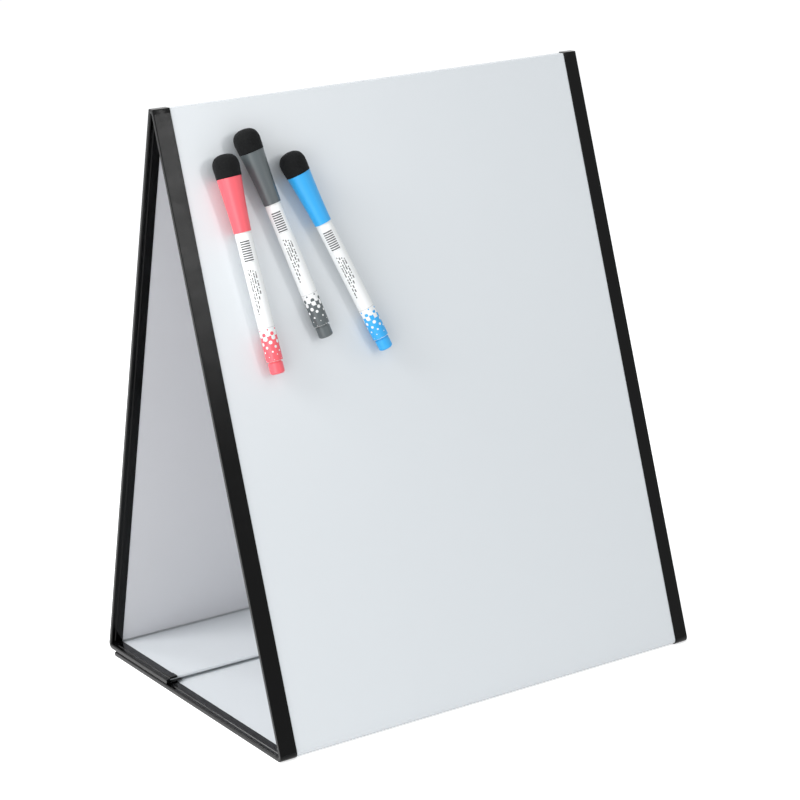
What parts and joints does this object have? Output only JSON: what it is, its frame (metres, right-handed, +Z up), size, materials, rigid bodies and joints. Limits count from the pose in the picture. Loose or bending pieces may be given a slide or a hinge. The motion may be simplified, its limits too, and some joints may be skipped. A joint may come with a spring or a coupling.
{
  "type": "desk whiteboard easel",
  "caption": "Folding tent-shaped magnetic whiteboard for a desk: hinged white panels with black edging, a magnetic lap at the base, and capped markers held on the front.",
  "frame": {"origin": "middle of the footprint, on the desk", "axes": "+X to the right along the ridge, +Y from the front to the back, +Z up"},
  "size_m": [0.3136, 0.2284, 0.3834],
  "materials": {
    "white_film": "satin dry-erase film",
    "grey_board": "pressed grey board",
    "steel_sheet": "thin tinned sheet",
    "black_edging": "satin black vinyl",
    "magnet_strip": "flexible magnet, dull brown",
    "black_felt": "pressed wool felt",
    "plated_magnet": "nickel plate",
    "white_barrel": "moulded, glossy",
    "red_plastic": "moulded, satin gloss",
    "red_print": "printed sleeve, dots fading into the marker's colour",
    "red_ink": "fibre soaked in ink",
    "grey_plastic": "moulded, satin gloss",
    "grey_print": "printed sleeve, dots fading into the marker's colour",
    "grey_ink": "fibre soaked in ink",
    "blue_plastic": "moulded, satin gloss",
    "blue_print": "printed sleeve, dots fading into the marker's colour",
    "blue_ink": "fibre soaked in ink"
  },
  "bodies": {
    "base": {"base_core": "grey_board", "base_steel_sheet": "steel_sheet", "base_under_film": "white_film", "base_top_film": "white_film", "base_end_film": "white_film", "base_trim_left": "black_edging", "base_trim_right": "black_edging", "foot_hinge_film": "white_film", "foot_binding_left": "black_edging", "foot_binding_right": "black_edging"},
    "front": {"front_core": "grey_board", "front_steel_sheet": "steel_sheet", "front_writing_film": "white_film", "front_inner_film": "white_film", "front_trim_left": "black_edging", "front_trim_right": "black_edging", "ridge_hinge_film": "white_film", "ridge_binding_left": "black_edging", "ridge_binding_right": "black_edging"},
    "back": {"back_core": "grey_board", "back_steel_sheet": "steel_sheet", "back_writing_film": "white_film", "back_inner_film": "white_film", "back_trim_left": "black_edging", "back_trim_right": "black_edging", "heel_hinge_film": "white_film", "heel_binding_left": "black_edging", "heel_binding_right": "black_edging"},
    "flap": {"flap_core": "grey_board", "flap_magnet_strip": "magnet_strip", "flap_under_film": "white_film", "flap_top_film": "white_film", "flap_end_film": "white_film", "flap_trim_left": "black_edging", "flap_trim_right": "black_edging"},
    "red_pen": {"red_barrel": "white_barrel", "red_label": "red_print", "red_nib": "red_ink", "red_ink_core": "red_ink", "red_end_plug": "red_plastic"},
    "red_cap_set": {"red_cap": "red_plastic", "red_eraser": "black_felt", "red_cap_magnet": "plated_magnet"},
    "grey_pen": {"grey_barrel": "white_barrel", "grey_label": "grey_print", "grey_nib": "grey_ink", "grey_ink_core": "grey_ink", "grey_end_plug": "grey_plastic"},
    "grey_cap_set": {"grey_cap": "grey_plastic", "grey_eraser": "black_felt", "grey_cap_magnet": "plated_magnet"},
    "blue_pen": {"blue_barrel": "white_barrel", "blue_label": "blue_print", "blue_nib": "blue_ink", "blue_ink_core": "blue_ink", "blue_end_plug": "blue_plastic"},
    "blue_cap_set": {"blue_cap": "blue_plastic", "blue_eraser": "black_felt", "blue_cap_magnet": "plated_magnet"}
  },
  "joints": [
    {"name": "foot_hinge", "type": "hinge", "parent": "base", "child": "front", "pos_m": [0, -0.11074, 0.0035], "axis": [1, 0, 0], "range_deg": [-72, 0], "deforming": ["foot_hinge_film", "foot_binding_left", "foot_binding_right"]},
    {"name": "ridge_hinge", "type": "hinge", "parent": "front", "child": "back", "pos_m": [0, -0.00138, 0.37994], "axis": [1, 0, 0], "range_deg": [0, 144], "deforming": ["ridge_hinge_film", "ridge_binding_left", "ridge_binding_right"]},
    {"name": "heel_hinge", "type": "hinge", "parent": "back", "child": "flap", "pos_m": [0, 0.11074, 0.0073], "axis": [1, 0, 0], "range_deg": [-72, 0], "deforming": ["heel_hinge_film", "heel_binding_left", "heel_binding_right"]},
    {"name": "red_lift", "type": "slide", "parent": "front", "child": "red_cap_set", "axis": [0, -0.9603, 0.279], "range_m": [0, 0.06]},
    {"name": "red_uncap", "type": "slide", "parent": "red_cap_set", "child": "red_pen", "axis": [0.0697, -0.257, -0.9639], "range_m": [0, 0.025]},
    {"name": "grey_lift", "type": "slide", "parent": "front", "child": "grey_cap_set", "axis": [0, -0.9603, 0.279], "range_m": [0, 0.06]},
    {"name": "grey_uncap", "type": "slide", "parent": "grey_cap_set", "child": "grey_pen", "axis": [0.23, -0.2502, -0.9405], "range_m": [0, 0.025]},
    {"name": "blue_lift", "type": "slide", "parent": "front", "child": "blue_cap_set", "axis": [0, -0.9603, 0.279], "range_m": [0, 0.06]},
    {"name": "blue_uncap", "type": "slide", "parent": "blue_cap_set", "child": "blue_pen", "axis": [0.3238, -0.2427, -0.9145], "range_m": [0, 0.025]}
  ],
  "couplings": [
    {"joint": "foot_hinge", "follows": "ridge_hinge", "ratio": -0.5},
    {"joint": "heel_hinge", "follows": "ridge_hinge", "ratio": -0.5}
  ]
}
